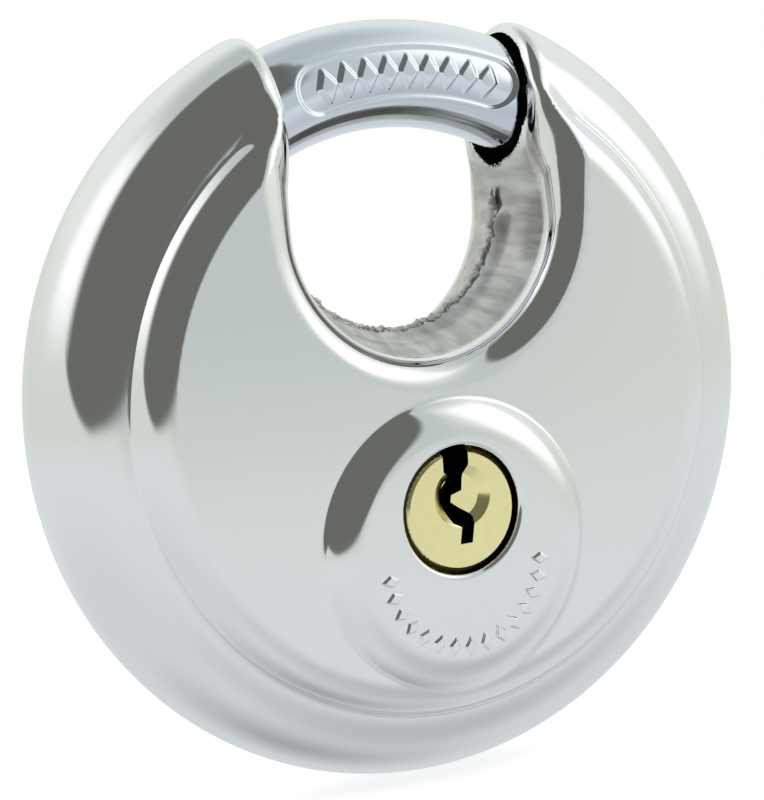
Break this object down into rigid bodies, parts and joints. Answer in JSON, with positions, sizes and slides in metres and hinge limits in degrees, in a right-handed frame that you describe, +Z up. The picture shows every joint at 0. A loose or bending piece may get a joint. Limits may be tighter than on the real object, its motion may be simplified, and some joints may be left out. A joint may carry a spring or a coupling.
{
  "type": "disc padlock",
  "caption": "Round two-shell steel padlock with a curved shackle that turns inside its rim, driven by a keyed pin-tumbler plug.",
  "frame": {"origin": "the point it hangs from: middle of the shackle's underside, in the eye, on the middle plane; the disc's centre is 23.55 mm below", "axes": "+X right seen from the keyway side, +Y out of the back, +Z up towards the shackle"},
  "size_m": [0.07, 0.0194, 0.0681],
  "materials": {
    "case_steel": "polished stainless sheet, slightly satin on the flat faces",
    "shackle_chrome": "bright chrome plate on a hardened bar",
    "brass_plug": "brushed brass",
    "brass_body": "machined brass",
    "zinc": "die-cast, matt",
    "plain_steel": "blanked steel",
    "dark_steel": "hardened and oil-blackened",
    "fastener_steel": "zinc plated",
    "spring_steel": "drawn wire"
  },
  "bodies": {
    "case": {"front_shell": "case_steel", "rear_shell": "case_steel", "core_housing": "zinc", "rear_plate": "plain_steel", "rear_plate_screws": "fastener_steel", "anti_drill_plate": "dark_steel", "cylinder_body": "brass_body", "pin_cover": "brass_body", "pin_spring_1": "spring_steel", "pin_spring_2": "spring_steel", "pin_spring_3": "spring_steel", "pin_spring_4": "spring_steel"},
    "shackle": {"shackle": "shackle_chrome", "drive_arm": "plain_steel", "arm_rivets": "fastener_steel"},
    "plug": {"plug": "brass_plug", "plug_clip": "dark_steel", "drive_cam": "plain_steel", "crank_pin": "fastener_steel", "cam_screw": "fastener_steel"},
    "driver_pin_1": {"driver_pin_1": "fastener_steel"},
    "driver_pin_2": {"driver_pin_2": "fastener_steel"},
    "driver_pin_3": {"driver_pin_3": "fastener_steel"},
    "driver_pin_4": {"driver_pin_4": "fastener_steel"},
    "key_pin_1": {"key_pin_1": "brass_plug"},
    "key_pin_2": {"key_pin_2": "brass_plug"},
    "key_pin_3": {"key_pin_3": "brass_plug"},
    "key_pin_4": {"key_pin_4": "brass_plug"}
  },
  "joints": [
    {"name": "shackle_turn", "type": "hinge", "parent": "case", "child": "shackle", "pos_m": [0, 0, -0.02355], "axis": [0, 1, 0], "range_deg": [0, 80]},
    {"name": "plug_turn", "type": "hinge", "parent": "case", "child": "plug", "pos_m": [0, 0, -0.03325], "axis": [0, 1, 0], "range_deg": [0, 160]},
    {"name": "driver_pin_1_lift", "type": "slide", "parent": "case", "child": "driver_pin_1", "axis": [0, 0, -1], "range_m": [0, 0.001], "stiffness_N_per_m": 60, "springref_m": -0.001, "deforming": ["pin_spring_1"]},
    {"name": "driver_pin_2_lift", "type": "slide", "parent": "case", "child": "driver_pin_2", "axis": [0, 0, -1], "range_m": [0, 0.001], "stiffness_N_per_m": 60, "springref_m": -0.001, "deforming": ["pin_spring_2"]},
    {"name": "driver_pin_3_lift", "type": "slide", "parent": "case", "child": "driver_pin_3", "axis": [0, 0, -1], "range_m": [0, 0.001], "stiffness_N_per_m": 60, "springref_m": -0.001, "deforming": ["pin_spring_3"]},
    {"name": "driver_pin_4_lift", "type": "slide", "parent": "case", "child": "driver_pin_4", "axis": [0, 0, -1], "range_m": [0, 0.001], "stiffness_N_per_m": 60, "springref_m": -0.001, "deforming": ["pin_spring_4"]},
    {"name": "key_pin_1_slide", "type": "slide", "parent": "plug", "child": "key_pin_1", "axis": [0, 0, 1], "range_m": [0, 0.001]},
    {"name": "key_pin_2_slide", "type": "slide", "parent": "plug", "child": "key_pin_2", "axis": [0, 0, 1], "range_m": [0, 0.001]},
    {"name": "key_pin_3_slide", "type": "slide", "parent": "plug", "child": "key_pin_3", "axis": [0, 0, 1], "range_m": [0, 0.001]},
    {"name": "key_pin_4_slide", "type": "slide", "parent": "plug", "child": "key_pin_4", "axis": [0, 0, 1], "range_m": [0, 0.001]}
  ],
  "couplings": [
    {"joint": "plug_turn", "follows": "shackle_turn", "ratio": 2}
  ]
}
